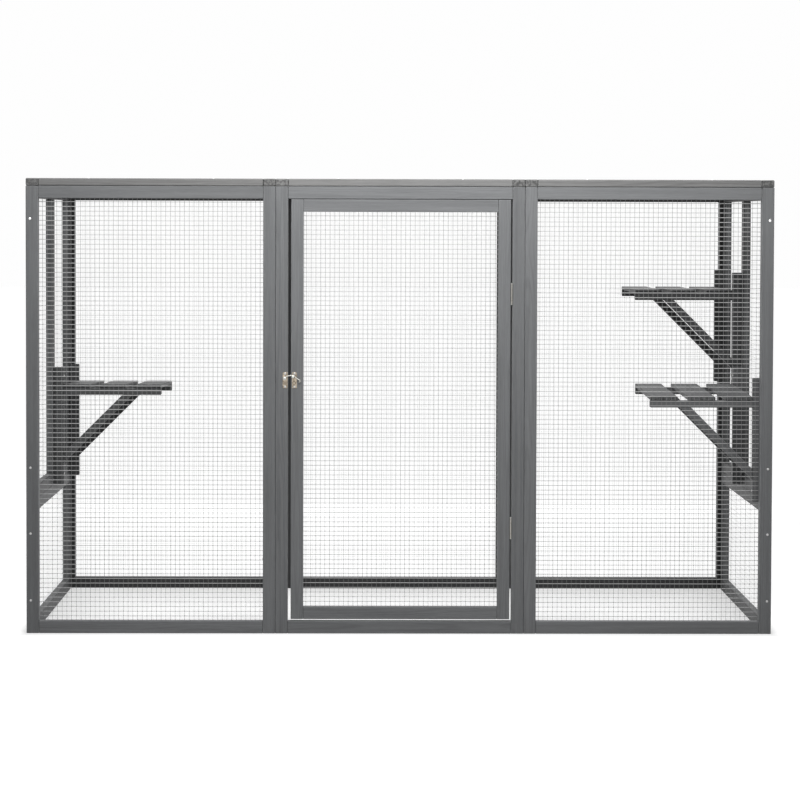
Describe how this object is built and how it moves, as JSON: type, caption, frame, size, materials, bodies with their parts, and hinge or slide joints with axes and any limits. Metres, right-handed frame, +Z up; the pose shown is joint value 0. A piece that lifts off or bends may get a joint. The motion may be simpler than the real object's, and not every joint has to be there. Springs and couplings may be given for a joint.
{
  "type": "outdoor cat enclosure",
  "caption": "Walk-in outdoor cat house of framed wire net walls and roof on wooden frames, with a hinged door closed by a swinging hook and slatted resting shelves on braced brackets.",
  "frame": {"origin": "centre of the bounding box at the ground, under the middle of the room", "axes": "+Z up, -Y towards the front wall with the door, +X towards the side with two shelves"},
  "size_m": [3, 1.0148, 1.8322],
  "materials": {
    "frame_wood": "grey stained pine, matt",
    "shelf_wood": "grey stained pine, matt",
    "galvanised_wire": "bright galvanised",
    "hinge_metal": "plated, satin",
    "latch_metal": "bright zinc plate",
    "screw_metal": "bright zinc plate"
  },
  "bodies": {
    "enclosure": {"front_left_stiles": "frame_wood", "front_left_rails": "frame_wood", "front_left_net": "galvanised_wire", "front_centre_stiles": "frame_wood", "front_centre_rails": "frame_wood", "front_right_stiles": "frame_wood", "front_right_rails": "frame_wood", "front_right_net": "galvanised_wire", "back_left_stiles": "frame_wood", "back_left_rails": "frame_wood", "back_left_net": "galvanised_wire", "back_centre_stiles": "frame_wood", "back_centre_rails": "frame_wood", "back_centre_net": "galvanised_wire", "back_right_stiles": "frame_wood", "back_right_rails": "frame_wood", "back_right_net": "galvanised_wire", "left_lower_stiles": "frame_wood", "left_lower_rails": "frame_wood", "left_lower_net": "galvanised_wire", "left_upper_stiles": "frame_wood", "left_upper_rails": "frame_wood", "left_upper_net": "galvanised_wire", "right_lower_stiles": "frame_wood", "right_lower_rails": "frame_wood", "right_lower_net": "galvanised_wire", "right_upper_stiles": "frame_wood", "right_upper_rails": "frame_wood", "right_upper_net": "galvanised_wire", "roof_left_sides": "frame_wood", "roof_left_ends": "frame_wood", "roof_left_net": "galvanised_wire", "roof_centre_sides": "frame_wood", "roof_centre_ends": "frame_wood", "roof_centre_net": "galvanised_wire", "roof_right_sides": "frame_wood", "roof_right_ends": "frame_wood", "roof_right_net": "galvanised_wire", "left_shelf_planks": "shelf_wood", "left_shelf_brackets": "shelf_wood", "right_low_shelf_planks": "shelf_wood", "right_low_shelf_brackets": "shelf_wood", "right_high_shelf_planks": "shelf_wood", "right_high_shelf_brackets": "shelf_wood", "frame_screws": "screw_metal", "shelf_screws": "screw_metal", "upper_hinge_frame_leaf": "hinge_metal", "upper_hinge_pin": "hinge_metal", "lower_hinge_frame_leaf": "hinge_metal", "lower_hinge_pin": "hinge_metal", "latch_plate": "latch_metal", "frame_hardware_screws": "screw_metal"},
    "door": {"door_stiles": "frame_wood", "door_rails": "frame_wood", "door_net": "galvanised_wire", "upper_hinge_door_leaf": "hinge_metal", "lower_hinge_door_leaf": "hinge_metal", "latch_keeper": "latch_metal", "door_hardware_screws": "screw_metal"},
    "hook": {"latch_hook": "latch_metal"}
  },
  "joints": [
    {"name": "door_swing", "type": "hinge", "parent": "enclosure", "child": "door", "pos_m": [0.44675, -0.49883, 0.9], "axis": [0, 0, 1], "range_deg": [0, 170]},
    {"name": "hook_lift", "type": "hinge", "parent": "enclosure", "child": "hook", "pos_m": [-0.463, -0.50257, 1.03], "axis": [0, -1, 0], "range_deg": [0, 100]}
  ]
}
